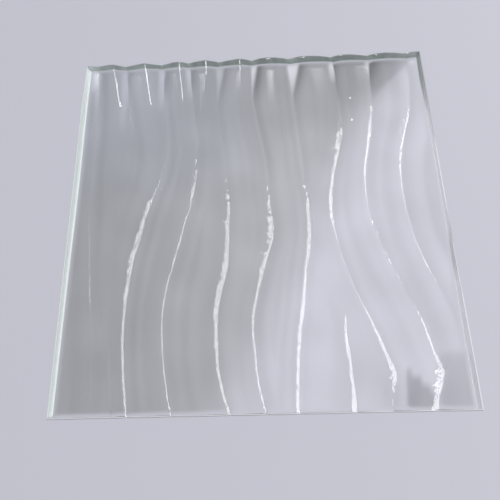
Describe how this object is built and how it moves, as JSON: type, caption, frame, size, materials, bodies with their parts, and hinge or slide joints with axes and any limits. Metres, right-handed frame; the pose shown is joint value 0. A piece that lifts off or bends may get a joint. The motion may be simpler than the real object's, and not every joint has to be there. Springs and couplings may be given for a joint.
{
  "type": "fused glass panel",
  "caption": "Square of clear fused glass with a flat back, cut edges and a face of long meandering waves parted by sharp grooves; a sample, tile or small pane.",
  "frame": {"origin": "centre of the flat back, which lies on the floor", "axes": "+Z out of the waved face, +Y along the waves, +X across them to the right as seen from above"},
  "size_m": [0.15, 0.15, 0.0069],
  "materials": {
    "clear_glass": "clear, fire-polished, faintly green at the cut edges"
  },
  "bodies": {
    "root": {"glass_panel": "clear_glass"}
  },
  "joints": []
}
